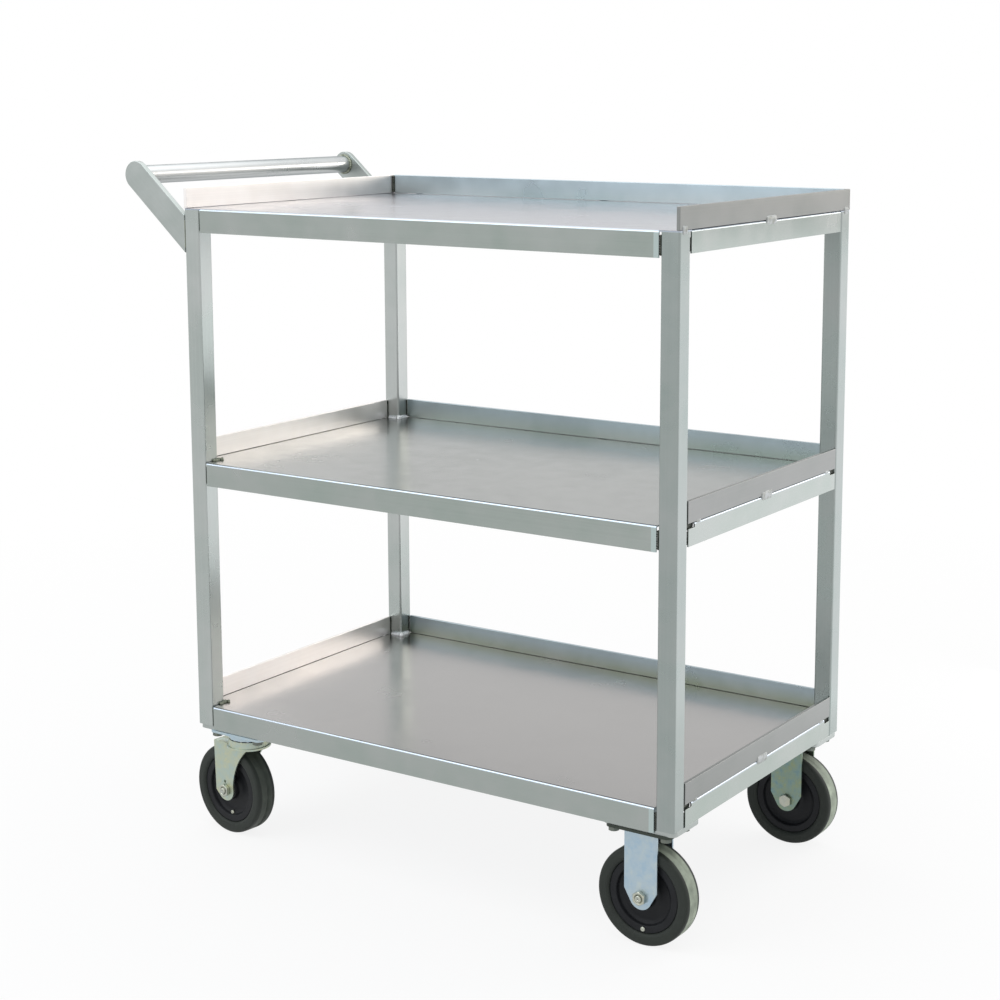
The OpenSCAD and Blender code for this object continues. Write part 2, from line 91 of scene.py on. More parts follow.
def blend(tree, share, first, second):
    """Mixes two colours by a share from 0 to 1."""
    mixed = node(tree, "ShaderNodeMix", {0: share}, data_type="RGBA")
    for place, colour in ((6, first), (7, second)):
        if isinstance(colour, bpy.types.NodeSocket):
            tree.links.new(colour, mixed.inputs[place])
        else:
            mixed.inputs[place].default_value = (*colour, 1)
    return mixed.outputs[2]


def work_out(tree, operation, first, second):
    """The result of a sum on two values."""
    return node(tree, "ShaderNodeMath", {0: first, 1: second}, operation=operation).outputs[0]


def fine_relief(tree, skin, height, strength, distance):
    """Fine relief of a finish, from a pattern's height."""
    bump = node(tree, "ShaderNodeBump", {"Height": height, "Strength": strength, "Distance": distance})
    tree.links.new(bump.outputs["Normal"], skin.inputs["Normal"])


grain_turns = {"x": (0, 0, 0), "y": (0, 0, math.pi / 2), "z": (0, -math.pi / 2, 0)}
grain_size = (1.1, 0.0014, 0.0014)
scratch_share = 0.10
scratch_gain = 0.3
# A painted highlight strip on the sheets beside the welds at their right ends: its tint, and how fast it
# fades in and out.
weld_highlight_tint = (1.15, 1.36, 1.34)
weld_highlight_fades = (0.0012, 0.0006)
# A painted highlight along the rounded fold just below each deck: its tint and its band below the deck's
# height.
fold_highlight_tint = (1.12, 1.26, 1.42)
fold_highlight_band = (0.0030, 0.0018)
# The band of a sheet's top face, which gets a painted tint for how that deck is lit.
top_face_band = (0.0008, 0.0002)


def drawn_aluminium(name, grain, tone=0.40, rough=0.34, clouds=0.08, tint=(0.90, 1.0, 0.96),
                    deck=None, upper=None, weld_highlight=None):
    """Mill aluminium with a fine straight grain and soft smudges.

    grain is the axis that the grain runs along, or a turn. deck is a sheet's height and the tint of
    its top face, a painted tint for how that deck is lit; the fold just below that gets a painted
    highlight. upper is two heights, between which the metal fades to another tint, and that tint. The
    last argument is two places along X, between which a painted highlight runs beside the welds."""
    material, tree, skin = finish(name, (tone, tone, tone), 1.0, rough)
    here = node(tree, "ShaderNodeTexCoord").outputs["Object"]
    place = node(tree, "ShaderNodeSeparateXYZ", {"Vector": here}).outputs
    along = node(tree, "ShaderNodeMapping", {
        "Vector": here, "Rotation": grain_turns.get(grain, grain), "Scale": grain_size,
    }, vector_type="TEXTURE").outputs["Vector"]
    drawn = noise(tree, along, 1.0, 2.0, 0.5)
    cloud = noise(tree, here, 7.0, 3.0, 0.55)
    smudge = noise(tree, here, 34.0, 2.0, 0.5)
    shade = spread(tree, work_out(tree, "ADD", cloud, work_out(tree, "MULTIPLY", smudge, 0.4)), 0.5, 0.9)

    def toned(tint, change=0.0):
        """A tint at the metal's own tone, made lighter or darker by a share."""
        return tuple(tone * (1 + change) * part for part in tint)

    def clouded(tint):
        """A tint with the metal's soft clouds in it."""
        return blend(tree, shade, toned(tint, -clouds), toned(tint, clouds))

    half_tint = tuple(0.5 + part / 2 for part in tint)
    body = blend(tree, shade, toned(tint, -clouds), toned(half_tint, clouds))
    scratches = spread(tree, drawn, 0.35, 0.65, 0.0, scratch_share)
    colour = blend(tree, scratches, body, toned(tint, scratch_gain))
    # Painted highlight between two places along X, beside the welds.
    if weld_highlight:
        start, end = weld_highlight
        started = spread(tree, place["X"], start, start + weld_highlight_fades[0])
        not_ended = spread(tree, place["X"], end, end + weld_highlight_fades[1], 1.0, 0.0)
        colour = blend(tree, work_out(tree, "MULTIPLY", started, not_ended), colour, toned(weld_highlight_tint))
    # Painted highlight on the fold, then a painted tint on the top face for how that deck is lit.
    if deck:
        height, face_lighting_tint = deck
        fold, face = (spread(tree, place["Z"], height - low, height - high)
                      for low, high in (fold_highlight_band, top_face_band))
        colour = blend(tree, fold, colour, toned(fold_highlight_tint))
        colour = blend(tree, face, colour, clouded(face_lighting_tint))
    if upper:
        low, high, upper_tint = upper
        colour = blend(tree, spread(tree, place["Z"], low, high), colour, clouded(upper_tint))
    tree.links.new(colour, skin.inputs["Base Color"])
    dulled = work_out(tree, "ADD", cloud, work_out(tree, "MULTIPLY", smudge, 0.6))
    tree.links.new(spread(tree, dulled, 0.5, 1.05, rough - 0.05, rough + 0.06), skin.inputs["Roughness"])
    fine_relief(tree, skin, drawn, 0.05, 0.0001)
    return material


merge_gap = 1e-6
flat_angle = math.radians(0.5)
sharp_angle = math.radians(40)


def dress(name, material, edge=0.0, steps=2):
    """Gives a CAD node its material, joins its triangles into flat faces and eases its sharp edges."""
    piece = frame["nodes"][name]
    piece.data.materials.clear()
    piece.data.materials.append(material)
    if edge:
        piece.modifiers.new("joined", "WELD").merge_threshold = merge_gap
        flat = piece.modifiers.new("flat", "DECIMATE")
        flat.decimate_type = "DISSOLVE"
        flat.angle_limit = flat_angle
        eased = piece.modifiers.new("eased", "BEVEL")
        eased.width = edge
        eased.segments = steps
        eased.limit_method = "ANGLE"
        eased.angle_limit = sharp_angle
        piece.modifiers.new("even", "WEIGHTED_NORMAL")


# The left legs are given a lighter tone and the right legs a darker one: painted light and shade on one tube
# finish.
tubes = {
    "left": drawn_aluminium("left_tube_aluminium", "z", tone=0.44, rough=0.28, clouds=0.06),
    "right": drawn_aluminium("right_tube_aluminium", "z", tone=0.34, rough=0.28, clouds=0.06,
                             tint=(0.86, 1.0, 0.96)),
}
tube_edge = 0.0002
for end, tube in tubes.items():
    for side in ("front", "back"):
        dress(f"leg_{side}_{end}", tube, tube_edge)

# ---- Shelves ----
# Three pans of rolled aluminium sheet with all four edges folded down. The top one lies over the
# legs, and the two lower ones are notched round them. Handling has clouded their faces. Each deck's
# top face has its own tint, painted light and shade for how that deck is lit; the rounded front folds
# carry a painted highlight, and the front flanges carry another beside the welds at their right ends.

front_fold_inset = 0.0278
fold_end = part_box("shelf_bottom")[1].x - front_fold_inset
weld_highlight_length = 0.0075
sheet_edge = 0.0003
# Painted light and shade: each deck's top face gets its own tint for how it is lit, bluish on the top deck,
# darker on the middle one, warm on the bottom one.
face_lighting_tints = {"top": (0.93, 0.94, 1.04), "middle": (0.81, 0.84, 0.81), "bottom": (0.98, 0.96, 0.94)}
for deck, face_lighting_tint in face_lighting_tints.items():
    sheet = drawn_aluminium(f"{deck}_sheet_aluminium", "x", tone=0.37, rough=0.22, clouds=0.05,
                            tint=(0.87, 1.0, 0.93), deck=(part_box(f"shelf_{deck}")[1].z, face_lighting_tint),
                            weld_highlight=(fold_end - weld_highlight_length, fold_end))
    dress(f"shelf_{deck}", sheet, sheet_edge)

# ---- Lips ----
# Flat aluminium bar on edge at the back and at both ends of each shelf, held down to the sheet by
# short welds. The sawn ends and the corners of the bar are lightly eased.

# The back bars carry a painted reflection of the deck below them: a darker tint per deck at their foot, olive
# on the lower decks, fading up to a paler tint at their head.
deck_reflection_tints = {"top": (0.80, 0.98, 1.0), "middle": (0.74, 0.90, 0.82), "bottom": (0.66, 0.76, 0.58)}
head_tint = (0.84, 1.0, 1.07)
foot_band = 0.002
head_band = 0.006
back_bars = {}
for deck, deck_reflection_tint in deck_reflection_tints.items():
    low, high = (corner.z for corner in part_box(f"lip_{deck}_back"))
    back_bars[deck] = drawn_aluminium(f"{deck}_back_bar_aluminium", "x", tone=0.45, rough=0.30,
                                      tint=deck_reflection_tint, upper=(low + foot_band, high - head_band, head_tint))
# The left end bars are given a very light warm tone and the right end bars a dark one: painted light and
# shade on one bar finish.
end_bars = {
    "left": drawn_aluminium("left_bar_aluminium", "y", tone=0.84, rough=0.34, clouds=0.04,
                            tint=(1.0, 0.96, 0.93)),
    "right": drawn_aluminium("right_bar_aluminium", "y", tone=0.245, rough=0.34, tint=(0.95, 1.0, 0.97)),
}
bar_edge = 0.0007
back_gap = 0.0003
end_gap = 0.0002


def merged_shape(name):
    """A CAD node's triangles, merged and joined into flat faces, to be reworked."""
    shape = bmesh.new()
    shape.from_mesh(frame["nodes"][name].data)
    bmesh.ops.remove_doubles(shape, verts=shape.verts, dist=merge_gap)
    bmesh.ops.dissolve_limit(shape, angle_limit=flat_angle, verts=shape.verts, edges=shape.edges)
    return shape


def reworked(name, node_name, shape, material, bevel, segments):
    """A piece from the reworked shape of a CAD node, with its edges bevelled and its shading even."""
    for face in shape.faces:
        face.smooth = True
    mesh = frame["nodes"][node_name].data.copy()
    mesh.materials.clear()
    mesh.materials.append(material)
    shape.to_mesh(mesh)
    shape.free()
    piece = bpy.data.objects.new(name, mesh)
    bpy.context.scene.collection.objects.link(piece)
    eased = piece.modifiers.new("eased", "BEVEL")
    eased.width = bevel
    eased.segments = segments
    piece.modifiers.new("even", "WEIGHTED_NORMAL")
    return piece


def seated(name, shelf, material, gap):
    """A lip's bar with eased edges, let down to a fine gap above its shelf."""
    shape = merged_shape(name)
    low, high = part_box(name)
    for point in shape.verts:
        if point.co.z < (low.z + high.z) / 2:
            point.co.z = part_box(shelf)[1].z + gap
    piece = reworked(name + "_seated", name, shape, material, bar_edge, 2)
    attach(piece, "cart")
    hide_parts(name)


for deck, back_bar in back_bars.items():
    seated(f"lip_{deck}_back", f"shelf_{deck}", back_bar, back_gap)
    for end, bar in end_bars.items():
        seated(f"lip_{deck}_{end}", f"shelf_{deck}", bar, end_gap)

# ---- Handle ----
# Two heavy flat bars slope up from the left legs to a round aluminium tube between them. Their upper
# ends are cut full round, and the tube is welded to their inner faces.

handle_slope = math.radians(41)
arm_finish = drawn_aluminium("arm_aluminium", (0, handle_slope, 0), tone=0.41, rough=0.34)
arm_edge = 0.0008
# The grip is given a lighter tone than the arms: painted light for the bright highlight along the tube.
grip_finish = drawn_aluminium("grip_aluminium", "y", tone=0.62, rough=0.30, clouds=0.04,
                              tint=(0.97, 1.0, 1.0))
edge_tint = grip_finish.node_tree.nodes["Principled BSDF"].inputs["Specular Tint"]
edge_tint.default_value = (0.40, 0.43, 0.44, 1)
for arm in ("handle_arm_front", "handle_arm_back"):
    dress(arm, arm_finish, arm_edge, 3)
dress("handle_grip", grip_finish, tube_edge)

# ---- Welds ----
# Beads of aluminium in overlapping ripples, some clean and some dull with soot: short tacks that hold
# the lips, upright beads where the folded edges meet the legs, fillets at the feet of the legs, and
# rings round the grip. The upright beads and those in the notches are near black: painted shade for
# the dark slots between the sheets, the bars and the legs.

leg_low, leg_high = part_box("leg_front_left")
leg_width = leg_high.x - leg_low.x
frame_left = leg_low.x
frame_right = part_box("leg_front_right")[1].x
frame_front = leg_low.y
frame_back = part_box("leg_back_left")[1].y
deck_heights = {deck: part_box(f"shelf_{deck}")[1].z for deck in ("top", "middle", "bottom")}


def keep_result(piece):
    """Turns what a piece's node tree makes into its own plain mesh."""
    result = bpy.data.meshes.new_from_object(
        piece.evaluated_get(bpy.context.evaluated_depsgraph_get()))
    piece.modifiers.clear()
    piece.data = result
    return piece


def run_tree(name, mesh, tree, **values):
    """A piece whose mesh goes through a node tree with these named inputs."""
    piece = bpy.data.objects.new(name, mesh)
    bpy.context.scene.collection.objects.link(piece)
    made = piece.modifiers.new("made", "NODES")
    made.node_group = tree
    sockets = {item.name: item.identifier for item in tree.interface.items_tree if item.in_out == "INPUT"}
    for key, value in values.items():
        made[sockets[key]] = value
    return keep_result(piece)


def new_tree(name, **kinds):
    """An empty node tree for a piece, with the named inputs that set its sizes."""
    tree = bpy.data.node_groups.new(name, "GeometryNodeTree")
    tree.interface.new_socket("Geometry", in_out="INPUT", socket_type="NodeSocketGeometry")
    for key, kind in kinds.items():
        tree.interface.new_socket(key, in_out="INPUT", socket_type="NodeSocket" + kind)
    tree.interface.new_socket("Geometry", in_out="OUTPUT", socket_type="NodeSocketGeometry")
    return tree, node(tree, "NodeGroupInput").outputs


def hand_over(tree, geometry, material):
    """Ends a tree with its geometry, dressed in a material."""
    dressed = node(tree, "GeometryNodeSetMaterial",
                   {"Geometry": geometry, "Material": material}).outputs["Geometry"]
    node(tree, "NodeGroupOutput", {"Geometry": dressed})
    return tree


def rippled_bead():
    """Ripples, set a pitch apart along each path and as large as the path's own ripple attribute."""
    tree, given = new_tree("Rippled bead", Pitch="Float", Seed="Int", Finish="Material")
    path = node(tree, "GeometryNodeMeshToCurve", {"Mesh": given["Geometry"]}).outputs["Curve"]
    places = node(tree, "GeometryNodeCurveToPoints", {"Curve": path, "Length": given["Pitch"]},
                  mode="LENGTH").outputs["Points"]
    size = node(tree, "GeometryNodeInputNamedAttribute", {"Name": "ripple"},
                data_type="FLOAT_VECTOR").outputs["Attribute"]
    vary = node(tree, "FunctionNodeRandomValue", {2: 0.88, 3: 1.0, "Seed": given["Seed"]},
                data_type="FLOAT").outputs[1]
    scaled = node(tree, "ShaderNodeVectorMath", {0: size, "Scale": vary}, operation="SCALE").outputs[0]
    drop = node(tree, "GeometryNodeMeshUVSphere", {"Segments": 12, "Rings": 8, "Radius": 1.0}).outputs["Mesh"]
    ripples = node(tree, "GeometryNodeInstanceOnPoints",
                   {"Points": places, "Instance": drop, "Scale": scaled}).outputs["Instances"]
    real = node(tree, "GeometryNodeRealizeInstances", {"Geometry": ripples}).outputs["Geometry"]
    smooth = node(tree, "GeometryNodeSetShadeSmooth", {"Geometry": real}).outputs["Geometry"]
    return hand_over(tree, smooth, given["Finish"])


def weld_aluminium(name, clean, soot_and_shade):
    """Cast-looking bead with fine ripples, clean metal in places and soot in others; where both colours are
    near black, the whole bead is painted shade.
    """
    material, tree, skin = finish(name, clean, 1.0, 0.36)
    here = node(tree, "ShaderNodeTexCoord").outputs["Object"]
    soot = spread(tree, noise(tree, here, 160.0, 3.0), 0.45, 0.75)
    tree.links.new(blend(tree, soot, clean, soot_and_shade), skin.inputs["Base Color"])
    fine_relief(tree, skin, noise(tree, here, 900.0, 2.0), 0.3, 0.0002)
    return material


def welds(name, beads, pitch, seed, metal, *stands_for):
    """One piece of many beads; each bead is a list of points and the half sizes of its ripples."""
    points, edges, sizes = [], [], []
    for path, size in beads:
        first = len(points)
        points += path
        edges += [(first + i, first + i + 1) for i in range(len(path) - 1)]
        sizes += [size] * len(path)
    mesh = bpy.data.meshes.new(name)
    mesh.from_pydata(points, edges, [])
    ripple = mesh.attributes.new("ripple", "FLOAT_VECTOR", "POINT")
    for entry, size in zip(ripple.data, sizes):
        entry.vector = size
    piece = run_tree(name, mesh, bead_tree, Pitch=pitch, Seed=seed, Finish=metal)
    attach(piece, "cart")
    if stands_for:
        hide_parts(*stands_for)


bead_tree = rippled_bead()
bright_weld = weld_aluminium("bright_weld", (0.40, 0.42, 0.42), (0.24, 0.25, 0.22))
clean_weld = weld_aluminium("clean_weld", (0.72, 0.74, 0.76), (0.45, 0.46, 0.44))
dull_weld = weld_aluminium("dull_weld", (0.30, 0.32, 0.26), (0.06, 0.07, 0.045))
# Near-black beads: painted shade for the dark slots between the sheets, the bars and the legs.
sooty_weld = weld_aluminium("sooty_weld", (0.07, 0.075, 0.065), (0.015, 0.02, 0.015))

bead_pitch = 0.0026
tack_pitch = 0.0024
tack_rise = 0.0024
tack_run = 0.0028
long_tack = 0.028
short_tack = 0.012
top_tack_inset = 0.012
low_tack_inset = leg_width + 0.015 + short_tack
tack_depth, tack_half = 0.0007, 0.0060
low_end_tack_depth, low_end_tack_half = 0.0018, 0.0036
back_tack_size = (tack_run, 0.0016, 0.0026)
back_tack_lift = 0.0006
back_inset = 0.0016

lip_beads = []
for deck, height in deck_heights.items():
    inset = top_tack_inset if deck == "top" else low_tack_inset
    for face, out in ((frame_left, 1), (frame_right, -1)):
        tacks = ((0, long_tack), (frame_front + inset, short_tack), (frame_back - inset, short_tack))
        for middle, length in tacks:
            depth, half = tack_depth, tack_half
            if deck != "top" and length == short_tack:
                depth, half = low_end_tack_depth, low_end_tack_half
            reach = length / 2 - tack_run
            path = [(face + out * depth, middle + s * reach, height) for s in (-1, 1)]
            lip_beads.append((path, (tack_rise, tack_run, half)))
    for middle in (frame_left + low_tack_inset, (frame_left + frame_right) / 2, frame_right - low_tack_inset):
        reach = short_tack / 2 - tack_run
        path = [(middle + s * reach, frame_back - back_inset, height + back_tack_lift) for s in (-1, 1)]
        lip_beads.append((path, back_tack_size))
welds("lip_welds", lip_beads, tack_pitch, 3, bright_weld, "weld_lips")


def upright(x, y, low, high):
    """The path of a bead that runs straight up."""
    return [(x, y, low), (x, y, high)]


seam_beads = []
lip_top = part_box("lip_top_back")
bar_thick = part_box("lip_top_right")[1].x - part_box("lip_top_right")[0].x
corner = (lip_top[0].x + frame_left + bar_thick) / 2
corner_bead = (0.0030, 0.0030, 0.0024)
outer_corner_bead = (0.0015, 0.0015, 0.002)
for x in (corner, frame_left + frame_right - corner):
    low, high = lip_top[0].z + 0.001, lip_top[1].z
    seam_beads.append((upright(x, frame_back - bar_thick, low, high - 0.003), corner_bead))
    seam_beads.append((upright(x, frame_back - back_inset, low, high - 0.002), outer_corner_bead))

seam = 0.0024
seam_inset = 0.0028
side_seam = {"drop": (0.0275, 0.0075), "bead": (0.0017, 0.0018, 0.0022)}
end_seam = {"drop": (0.0235, 0.0105), "bead": (0.0018, 0.0017, 0.0022)}
notch = {"inset": 0.0048, "run": (0.0005, seam + 0.015), "drop": 0.0044, "bead": (0.0014, 0.0034, 0.0050)}
lip_end = {"along_x": (0.0013, 0.0011, 0.0022), "along_y": (0.0011, 0.0013, 0.0022)}
lip_end_gap = 0.0002
leg_gap = 0.0005
foot_half = 0.0026
foot_rise = 0.0004
foot_size = {"front": 0.0030, "back": 0.0042}
foot_length = {"front": 0.008, "back": 0.003 + short_tack}
foot_stop = 0.001
lump_size = {"front": 0.0030, "back": 0.0050}
lump_run = (0.001, 0.004)
lump_rise = 0.001
foot_beads = {"front": [], "back": []}
beside = leg_width + seam / 2
for x_out, x_in in ((frame_left, 1), (frame_right, -1)):
    for side, y_out, y_in in (("front", frame_front, 1), ("back", frame_back, -1)):
        near, far = leg_width - foot_length[side], leg_width - foot_stop
        size, lump = foot_size[side], lump_size[side]
        for deck, height in deck_heights.items():
            low, high = (height - drop for drop in side_seam["drop"])
            path = upright(x_out + x_in * beside, y_out + y_in * seam_inset, low, high)
            seam_beads.append((path, side_seam["bead"]))
            low, high = (height - drop for drop in end_seam["drop"])
            path = upright(x_out + x_in * seam_inset, y_out + y_in * beside, low, high)
            seam_beads.append((path, end_seam["bead"]))
            if deck == "top":
                continue
            path = [(x_out + x_in * notch["inset"], y_out + y_in * (leg_width + s), height - notch["drop"])
                    for s in notch["run"]]
            seam_beads.append((path, notch["bead"]))

            path = [(x_out + x_in * beside, y_out + y_in * s, height + foot_rise) for s in (near, far)]
            foot_beads[side].append((path, (size, foot_half, size)))
            path = [(x_out + x_in * s, y_out + y_in * beside, height + foot_rise) for s in (near, far)]
            foot_beads[side].append((path, (foot_half, size, size)))
            path = [(x_out + x_in * (leg_width + s), y_out + y_in * (leg_width + s), height + lump_rise)
                    for s in lump_run]
            foot_beads[side].append((path, (lump, lump, lump)))

            low, high = height + 0.002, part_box(f"lip_{deck}_back")[1].z - 0.003
            across, along = bar_thick + lip_end_gap, leg_width + leg_gap
            path = upright(x_out + x_in * across, y_out + y_in * along, low, high)
            seam_beads.append((path, lip_end["along_y"]))
            if side == "back":
                path = upright(x_out + x_in * along, y_out + y_in * across, low, high)
                seam_beads.append((path, lip_end["along_x"]))
welds("leg_seam_welds", seam_beads, bead_pitch, 5, sooty_weld, "weld_frame")
welds("front_foot_welds", foot_beads["front"], bead_pitch, 6, dull_weld)
welds("back_foot_welds", foot_beads["back"], bead_pitch, 6, clean_weld)

grip_low, grip_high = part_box("handle_grip")
grip_mid = (grip_low + grip_high) / 2
bead_lift = 0.0004
ring_radius = (grip_high.z - grip_low.z) / 2 + bead_lift
ring_steps = 32
ring_bead = (0.0026, 0.0024, 0.0026)
arm_low, arm_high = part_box("handle_arm_front")
arm_thick = arm_high.y - arm_low.y
cut_stop = 0.0045
arm_bead = (0.0034, 0.0034, 0.0026)
outer_arm_bead = (0.0015, 0.0012, 0.0026)
outer_inset = 0.0012
outer_share = 0.8
cut_mid = grip_mid.z - (frame_left - grip_mid.x) * math.tan(handle_slope)
cut_half = (arm_high.z - grip_mid.z) / math.cos(handle_slope) - cut_stop
turns = [math.tau * i / ring_steps for i in range(ring_steps + 1)]
handle_beads = []
for inner, outer, y_in in ((arm_high.y, frame_front, 1), (frame_back - arm_thick, frame_back, -1)):
    y = inner + y_in * bead_lift
    ring = [(grip_mid.x + ring_radius * math.cos(turn), y, grip_mid.z + ring_radius * math.sin(turn))
            for turn in turns]
    handle_beads.append((ring, ring_bead))
    path = upright(frame_left - bead_lift, y, cut_mid - cut_half, cut_mid + cut_half)
    handle_beads.append((path, arm_bead))
    reach = cut_half * outer_share
    path = upright(frame_left - 2 * bead_lift, outer + y_in * outer_inset, cut_mid - reach, cut_mid + reach)
    handle_beads.append((path, outer_arm_bead))
welds("handle_welds", handle_beads, bead_pitch, 7, dull_weld, "weld_handle")

# ---- Caster pads ----
# Pads of aluminium plate, sawn and round-cornered, welded under the frame at each leg. They are drilled
# and tapped for the casters' bolts.

pad_finish = drawn_aluminium("pad_aluminium", "x", tone=0.42, rough=0.42)
pad_edge = 0.0005
for pad in ("pad_front_left", "pad_front_right", "pad_back_left", "pad_back_right"):
    dress(pad, pad_finish, pad_edge)

# ---- Plate bolts ----
# Four zinc-plated hexagon bolts go up through each caster's plate into its pad. Only their heads
# show, and they are chamfered at the outer end.

# The colour of painted shade on the zinc above the plates' underside, under the frame.
plate_shade_colour = (0.05, 0.06, 0.05)


def plated_steel(name, colour, tints, rough, metallic=0.85, grime=None):
    """Zinc plate with a thin passivated film, whose tint drifts and is finely mottled. The last
    argument is a height above which the zinc is painted dark, as shade under the frame."""
    material, tree, skin = finish(name, colour, metallic, rough)
    here = node(tree, "ShaderNodeTexCoord").outputs["Object"]
    drift = spread(tree, noise(tree, here, 90.0, 3.0), 0.36, 0.64)
    mottle = spread(tree, noise(tree, here, 260.0, 3.0), 0.35, 0.65, 0.1, 0.8)
    film = blend(tree, mottle, colour, blend(tree, drift, tints[0], tints[1]))
    # Painted shade: the zinc turns dark above a given height, under the frame.
    if grime:
        height = node(tree, "ShaderNodeSeparateXYZ", {"Vector": here}).outputs["Z"]
        film = blend(tree, spread(tree, height, grime - 0.001, grime), film, plate_shade_colour)
    tree.links.new(film, skin.inputs["Base Color"])
    tree.links.new(spread(tree, drift, 0.0, 1.0, rough - 0.06, rough + 0.08), skin.inputs["Roughness"])
    fine_relief(tree, skin, noise(tree, here, 700.0, 3.0), 0.18, 0.0002)
    return material


bolt_finish = plated_steel("bolt_zinc", (0.46, 0.48, 0.42),
                           ((0.36, 0.39, 0.36), (0.56, 0.55, 0.42)), 0.34)
# The plate bolt heads are near-black zinc: painted shade for the deep shade under the casters' plates.
shaded_bolt_finish = plated_steel("dull_zinc", (0.16, 0.18, 0.16),
                                 ((0.10, 0.12, 0.11), (0.22, 0.23, 0.19)), 0.5)
hexagon_points = 48
smallest_bore = 0.0004


def hexagon(name, across, thick, bore, material, chamfered=(True, True)):
    """A hexagon nut or bolt head from z = 0 up, with cone-cut corners and, for a nut, a bore."""
    turns = [math.tau * i / hexagon_points for i in range(hexagon_points)]
    corner = across / math.sqrt(3)
    cut = corner - across / 2 * 0.96
    rise = cut * 0.6
    low = [(rise * s, corner - cut * (1 - s)) for s in (0, 0.35, 0.7, 1)]
    high = [(thick - height, cone) for height, cone in reversed(low)]
    rows = (low if chamfered[0] else [(0, corner)]) + (high if chamfered[1] else [(thick, corner)])
    hole = max(bore, smallest_bore) / 2

    def flats(turn):
        """How far out the hexagon's side is in this direction."""
        return across / 2 / math.cos((turn % (math.pi / 3)) - math.pi / 6)

    def ring(height, cone):
        """A hexagon at this height, with its corners cut off by a cone of this radius."""
        radii = [(min(flats(turn), cone), turn) for turn in turns]
        return [(radius * math.cos(turn), radius * math.sin(turn), height) for radius, turn in radii]

    rings = [ring(0, hole)] + [ring(height, cone) for height, cone in rows] + [ring(thick, hole)]
    faces = []
    for row in range(len(rings)):
        here, above = row * hexagon_points, (row + 1) % len(rings) * hexagon_points
        for i in range(hexagon_points):
            beside = (i + 1) % hexagon_points
            faces.append((here + i, here + beside, above + beside, above + i))
    mesh = bpy.data.meshes.new(name)
    mesh.from_pydata([point for ring_points in rings for point in ring_points], [], faces)
    mesh.materials.append(material)
    piece = bpy.data.objects.new(name, mesh)
    bpy.context.scene.collection.objects.link(piece)
    return piece


def bolt_group():
    """Copies of a bolt head at each point of the piece's mesh."""
    tree, given = new_tree("Bolt group", Head="Object", Finish="Material")
    head = node(tree, "GeometryNodeObjectInfo", {"Object": given["Head"]}).outputs["Geometry"]
    copies = node(tree, "GeometryNodeInstanceOnPoints",
                  {"Points": given["Geometry"], "Instance": head}).outputs["Instances"]
    real = node(tree, "GeometryNodeRealizeInstances", {"Geometry": copies}).outputs["Geometry"]
    return hand_over(tree, real, given["Finish"])


head_across = 0.013
head_thick = 0.0053
bolt_spacing = (0.073, 0.0445)
bolt_tree = bolt_group()
bolt_head = hexagon("bolt_head", head_across, head_thick, 0, shaded_bolt_finish, (True, False))
bolted_nodes = {
    "left": ("swivel_front_plate", "swivel_back_plate"),
    "right": ("rigid_front_fork", "rigid_back_fork"),
}
for end, casters in bolted_nodes.items():
    low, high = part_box(f"bolts_{end}")
    middle = (high.x + low.x) / 2
    places = []
    for caster in casters:
        plate_low, plate_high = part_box(caster)
        across = (plate_low.y + plate_high.y) / 2
        places += [(middle + sx * bolt_spacing[0] / 2, across + sy * bolt_spacing[1] / 2, low.z)
                   for sx in (-1, 1) for sy in (-1, 1)]
    mesh = bpy.data.meshes.new(f"bolt_heads_{end}")
    mesh.from_pydata(places, [], [])
    heads = run_tree(f"bolt_heads_{end}", mesh, bolt_tree, Head=bolt_head, Finish=shaded_bolt_finish)
    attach(heads, "cart")
    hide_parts(f"bolts_{end}")
bpy.data.objects.remove(bolt_head)

# ---- Caster plates, forks and races ----
# Pressed steel, zinc plated and passivated to a pale blue. A swivel caster's fork hangs from its plate
# by a riveted kingpin and turns on a ring of balls, and a rigid caster's fork is one with its plate.

blue_zinc = plated_steel("blue_zinc", (0.44, 0.54, 0.60),
                         ((0.34, 0.48, 0.58), (0.52, 0.58, 0.56)), 0.34)
olive_zinc = plated_steel("olive_zinc", (0.42, 0.48, 0.40),
                          ((0.35, 0.46, 0.46), (0.52, 0.52, 0.34)), 0.36)
ball_finish = plated_steel("race_steel", (0.50, 0.51, 0.52),
                           ((0.46, 0.47, 0.48), (0.55, 0.56, 0.57)), 0.2, 1.0)
plate_thick = 0.0035
plate_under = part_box("swivel_front_plate")[1].z - plate_thick
# The back rigid forks are a much darker copy of the front ones' zinc: painted shade.
rigid_zinc = {
    "front": plated_steel("clean_zinc", (0.42, 0.52, 0.59),
                          ((0.34, 0.47, 0.58), (0.50, 0.57, 0.57)), 0.34, grime=plate_under),
    "back": plated_steel("dull_green_zinc", (0.22, 0.30, 0.25),
                         ((0.14, 0.24, 0.28), (0.30, 0.34, 0.18)), 0.38, grime=plate_under),
}
plate_edge = 0.0005
kingpin_edge = 0.0006
fork_bend = 0.0022
fork_edge = 0.0005
shortest_bend = 0.02
level_from, upright_to = 0.99, 0.01


def pressed(name, body, metal, convex):
    """A pressed fork from its CAD node, with round bends at its crown and fine cut edges; convex says
    whether its outer folds are bends too."""
    shape = merged_shape(name)
    weight = shape.edges.layers.float.new("bevel_weight_edge")
    for line in shape.edges:
        if len(line.link_faces) == 2 and line.calc_face_angle(0) > sharp_angle:
            steepness = [abs(face.normal.z) for face in line.link_faces]
            folded = (max(steepness) > level_from and min(steepness) < upright_to
                      and line.calc_length() > shortest_bend and (convex or not line.is_convex))
            line[weight] = 1.0 if folded else fork_edge / fork_bend
    piece = reworked(name + "_pressed", name, shape, metal, fork_bend, 3)
    piece.modifiers["eased"].limit_method = "WEIGHT"
    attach(piece, body)
    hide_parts(name)


